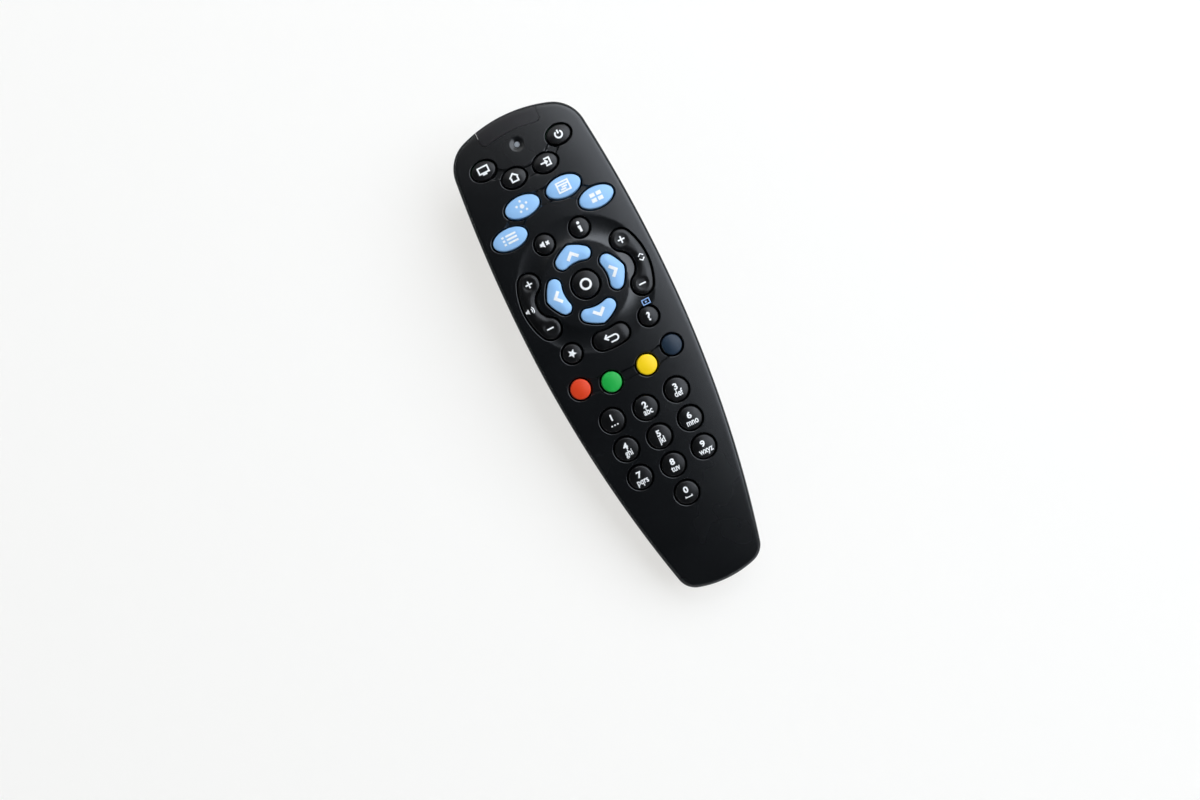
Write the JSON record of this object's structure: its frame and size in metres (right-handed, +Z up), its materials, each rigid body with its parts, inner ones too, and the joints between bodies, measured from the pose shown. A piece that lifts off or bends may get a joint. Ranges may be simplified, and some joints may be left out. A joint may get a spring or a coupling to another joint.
{
  "type": "remote control",
  "caption": "Handheld infrared remote control with a waisted black case, rubber keys, a four-way navigation disc, two rockers and a sliding battery cover.",
  "frame": {"origin": "on the table surface under the middle of the remote as it lies on its back", "axes": "+Z up out of the keys, +Y towards the infrared head, +X to the right of the keys seen with the head away"},
  "size_m": [0.0618, 0.1996, 0.0306],
  "materials": {
    "face_plastic": "satin moulded ABS, near black",
    "back_plastic": "fine spark-eroded grain ABS, near black",
    "cover_plastic": "fine spark-eroded grain ABS, near black",
    "window_plastic": "dark infrared-passing acrylic, polished",
    "mat_rubber": "moulded silicone rubber",
    "board_laminate": "phenolic laminate with green solder resist",
    "chip_epoxy": "moulded epoxy",
    "resonator_case": "dipped ceramic resonator",
    "capacitor_can": "printed sleeve over an aluminium can",
    "emitter_epoxy": "clear blue-black epoxy",
    "lamp_lens": "diffuse grey lens",
    "screw_steel": "zinc-plated steel",
    "contact_metal": "nickel-plated spring steel",
    "cell_jacket": "printed film on a steel can",
    "key_black": "matt silicone rubber with white print",
    "key_pale_blue": "painted silicone rubber, pale blue with white print",
    "key_red": "red-orange silicone rubber",
    "key_green": "green silicone rubber",
    "key_yellow": "yellow silicone rubber",
    "key_dark_blue": "dark navy silicone rubber"
  },
  "bodies": {
    "case": {"battery_cell_left": "cell_jacket", "battery_cell_right": "cell_jacket", "board_screws": "screw_steel", "capacitor": "capacitor_can", "circuit_board": "board_laminate", "contact_bridge": "contact_metal", "contact_negative": "contact_metal", "contact_positive": "contact_metal", "controller_chip": "chip_epoxy", "indicator_lamp": "lamp_lens", "ir_emitter": "emitter_epoxy", "ir_window": "window_plastic", "keypad_mat": "mat_rubber", "lower_shell": "back_plastic", "resonator": "resonator_case", "upper_shell": "face_plastic"},
    "battery_cover": {"battery_cover": "cover_plastic"},
    "key_0": {"key_0": "key_black"},
    "key_1": {"key_1": "key_black"},
    "key_2": {"key_2": "key_black"},
    "key_3": {"key_3": "key_black"},
    "key_4": {"key_4": "key_black"},
    "key_5": {"key_5": "key_black"},
    "key_6": {"key_6": "key_black"},
    "key_7": {"key_7": "key_black"},
    "key_8": {"key_8": "key_black"},
    "key_9": {"key_9": "key_black"},
    "key_back": {"key_back": "key_black"},
    "key_blue": {"key_blue": "key_dark_blue"},
    "key_channel": {"key_channel": "key_black"},
    "key_down": {"key_down": "key_pale_blue"},
    "key_extras": {"key_extras": "key_pale_blue"},
    "key_favourites": {"key_favourites": "key_black"},
    "key_featured": {"key_featured": "key_pale_blue"},
    "key_green": {"key_green": "key_green"},
    "key_guide": {"key_guide": "key_pale_blue"},
    "key_help": {"key_help": "key_black"},
    "key_home": {"key_home": "key_black"},
    "key_info": {"key_info": "key_black"},
    "key_inputs": {"key_inputs": "key_black"},
    "key_left": {"key_left": "key_pale_blue"},
    "key_mute": {"key_mute": "key_black"},
    "key_planner": {"key_planner": "key_pale_blue"},
    "key_power": {"key_power": "key_black"},
    "key_red": {"key_red": "key_red"},
    "key_right": {"key_right": "key_pale_blue"},
    "key_screen": {"key_screen": "key_black"},
    "key_select": {"key_select": "key_black"},
    "key_up": {"key_up": "key_pale_blue"},
    "key_volume": {"key_volume": "key_black"},
    "key_yellow": {"key_yellow": "key_yellow"}
  },
  "joints": [
    {"name": "battery_cover_slide", "type": "slide", "parent": "case", "child": "battery_cover", "axis": [0, -1, 0], "range_m": [0, 0.07]},
    {"name": "0_press", "type": "slide", "parent": "case", "child": "key_0", "axis": [0, 0.0698, -0.9976], "range_m": [0, 0.001], "stiffness_N_per_m": 300, "springref_m": -0.0005},
    {"name": "1_press", "type": "slide", "parent": "case", "child": "key_1", "axis": [0, 0.0698, -0.9976], "range_m": [0, 0.001], "stiffness_N_per_m": 300, "springref_m": -0.0005},
    {"name": "2_press", "type": "slide", "parent": "case", "child": "key_2", "axis": [0, 0.0698, -0.9976], "range_m": [0, 0.001], "stiffness_N_per_m": 300, "springref_m": -0.0005},
    {"name": "3_press", "type": "slide", "parent": "case", "child": "key_3", "axis": [0, 0.0698, -0.9976], "range_m": [0, 0.001], "stiffness_N_per_m": 300, "springref_m": -0.0005},
    {"name": "4_press", "type": "slide", "parent": "case", "child": "key_4", "axis": [0, 0.0698, -0.9976], "range_m": [0, 0.001], "stiffness_N_per_m": 300, "springref_m": -0.0005},
    {"name": "5_press", "type": "slide", "parent": "case", "child": "key_5", "axis": [0, 0.0698, -0.9976], "range_m": [0, 0.001], "stiffness_N_per_m": 300, "springref_m": -0.0005},
    {"name": "6_press", "type": "slide", "parent": "case", "child": "key_6", "axis": [0, 0.0698, -0.9976], "range_m": [0, 0.001], "stiffness_N_per_m": 300, "springref_m": -0.0005},
    {"name": "7_press", "type": "slide", "parent": "case", "child": "key_7", "axis": [0, 0.0698, -0.9976], "range_m": [0, 0.001], "stiffness_N_per_m": 300, "springref_m": -0.0005},
    {"name": "8_press", "type": "slide", "parent": "case", "child": "key_8", "axis": [0, 0.0698, -0.9976], "range_m": [0, 0.001], "stiffness_N_per_m": 300, "springref_m": -0.0005},
    {"name": "9_press", "type": "slide", "parent": "case", "child": "key_9", "axis": [0, 0.0698, -0.9976], "range_m": [0, 0.001], "stiffness_N_per_m": 300, "springref_m": -0.0005},
    {"name": "back_press", "type": "slide", "parent": "case", "child": "key_back", "axis": [0, 0.0698, -0.9976], "range_m": [0, 0.001], "stiffness_N_per_m": 300, "springref_m": -0.0005},
    {"name": "blue_press", "type": "slide", "parent": "case", "child": "key_blue", "axis": [0, 0.0698, -0.9976], "range_m": [0, 0.001], "stiffness_N_per_m": 300, "springref_m": -0.0005},
    {"name": "channel_rock", "type": "hinge", "parent": "case", "child": "key_channel", "pos_m": [0.02305, 0.02819, 0.02268], "axis": [1, 0, 0], "range_deg": [-3.5, 3.5], "stiffness_Nm_per_rad": 0.05},
    {"name": "down_press", "type": "slide", "parent": "case", "child": "key_down", "axis": [0, 0.0698, -0.9976], "range_m": [0, 0.001], "stiffness_N_per_m": 300, "springref_m": -0.0005},
    {"name": "extras_press", "type": "slide", "parent": "case", "child": "key_extras", "axis": [0, 0.0698, -0.9976], "range_m": [0, 0.001], "stiffness_N_per_m": 300, "springref_m": -0.0005},
    {"name": "favourites_press", "type": "slide", "parent": "case", "child": "key_favourites", "axis": [0, 0.0698, -0.9976], "range_m": [0, 0.001], "stiffness_N_per_m": 300, "springref_m": -0.0005},
    {"name": "featured_press", "type": "slide", "parent": "case", "child": "key_featured", "axis": [0, 0.0698, -0.9976], "range_m": [0, 0.001], "stiffness_N_per_m": 300, "springref_m": -0.0005},
    {"name": "green_press", "type": "slide", "parent": "case", "child": "key_green", "axis": [0, 0.0698, -0.9976], "range_m": [0, 0.001], "stiffness_N_per_m": 300, "springref_m": -0.0005},
    {"name": "guide_press", "type": "slide", "parent": "case", "child": "key_guide", "axis": [0, 0.0698, -0.9976], "range_m": [0, 0.001], "stiffness_N_per_m": 300, "springref_m": -0.0005},
    {"name": "help_press", "type": "slide", "parent": "case", "child": "key_help", "axis": [0, 0.0698, -0.9976], "range_m": [0, 0.001], "stiffness_N_per_m": 300, "springref_m": -0.0005},
    {"name": "home_press", "type": "slide", "parent": "case", "child": "key_home", "axis": [0, 0.0698, -0.9976], "range_m": [0, 0.001], "stiffness_N_per_m": 300, "springref_m": -0.0005},
    {"name": "info_press", "type": "slide", "parent": "case", "child": "key_info", "axis": [0, 0.0698, -0.9976], "range_m": [0, 0.001], "stiffness_N_per_m": 300, "springref_m": -0.0005},
    {"name": "inputs_press", "type": "slide", "parent": "case", "child": "key_inputs", "axis": [0, 0.0698, -0.9976], "range_m": [0, 0.001], "stiffness_N_per_m": 300, "springref_m": -0.0005},
    {"name": "left_press", "type": "slide", "parent": "case", "child": "key_left", "axis": [0, 0.0698, -0.9976], "range_m": [0, 0.001], "stiffness_N_per_m": 300, "springref_m": -0.0005},
    {"name": "mute_press", "type": "slide", "parent": "case", "child": "key_mute", "axis": [0, 0.0698, -0.9976], "range_m": [0, 0.001], "stiffness_N_per_m": 300, "springref_m": -0.0005},
    {"name": "planner_press", "type": "slide", "parent": "case", "child": "key_planner", "axis": [0, 0.0698, -0.9976], "range_m": [0, 0.001], "stiffness_N_per_m": 300, "springref_m": -0.0005},
    {"name": "power_press", "type": "slide", "parent": "case", "child": "key_power", "axis": [0, 0.0698, -0.9976], "range_m": [0, 0.001], "stiffness_N_per_m": 300, "springref_m": -0.0005},
    {"name": "red_press", "type": "slide", "parent": "case", "child": "key_red", "axis": [0, 0.0698, -0.9976], "range_m": [0, 0.001], "stiffness_N_per_m": 300, "springref_m": -0.0005},
    {"name": "right_press", "type": "slide", "parent": "case", "child": "key_right", "axis": [0, 0.0698, -0.9976], "range_m": [0, 0.001], "stiffness_N_per_m": 300, "springref_m": -0.0005},
    {"name": "screen_press", "type": "slide", "parent": "case", "child": "key_screen", "axis": [0, 0.0698, -0.9976], "range_m": [0, 0.001], "stiffness_N_per_m": 300, "springref_m": -0.0005},
    {"name": "select_press", "type": "slide", "parent": "case", "child": "key_select", "axis": [0, 0.0698, -0.9976], "range_m": [0, 0.001], "stiffness_N_per_m": 300, "springref_m": -0.0005},
    {"name": "up_press", "type": "slide", "parent": "case", "child": "key_up", "axis": [0, 0.0698, -0.9976], "range_m": [0, 0.001], "stiffness_N_per_m": 300, "springref_m": -0.0005},
    {"name": "volume_rock", "type": "hinge", "parent": "case", "child": "key_volume", "pos_m": [-0.02305, 0.02819, 0.02268], "axis": [1, 0, 0], "range_deg": [-3.5, 3.5], "stiffness_Nm_per_rad": 0.05},
    {"name": "yellow_press", "type": "slide", "parent": "case", "child": "key_yellow", "axis": [0, 0.0698, -0.9976], "range_m": [0, 0.001], "stiffness_N_per_m": 300, "springref_m": -0.0005}
  ]
}
